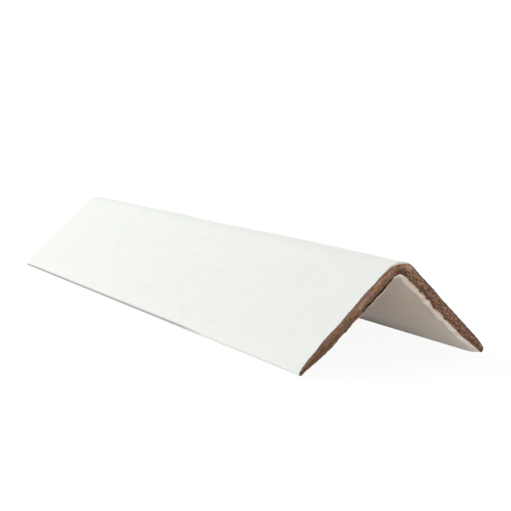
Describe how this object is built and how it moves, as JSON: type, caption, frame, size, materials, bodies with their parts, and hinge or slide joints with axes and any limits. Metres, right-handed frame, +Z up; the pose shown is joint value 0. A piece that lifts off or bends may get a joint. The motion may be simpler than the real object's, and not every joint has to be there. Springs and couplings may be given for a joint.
{
  "type": "pallet edge protector",
  "caption": "Angle of laminated board with a white paper liner, laid over the edges of a pallet load so that straps don't cut in.",
  "frame": {"origin": "on the surface that the two free edges stand on, under the bend, halfway along the length", "axes": "+X across the two legs, +Y along the length, +Z up through the bend"},
  "size_m": [0.0728, 0.24, 0.0325],
  "materials": {
    "brown_board": "matte",
    "white_liner": "matte"
  },
  "bodies": {
    "root": {"board_core": "brown_board", "outer_liner": "white_liner", "inner_liner": "white_liner"}
  },
  "joints": []
}
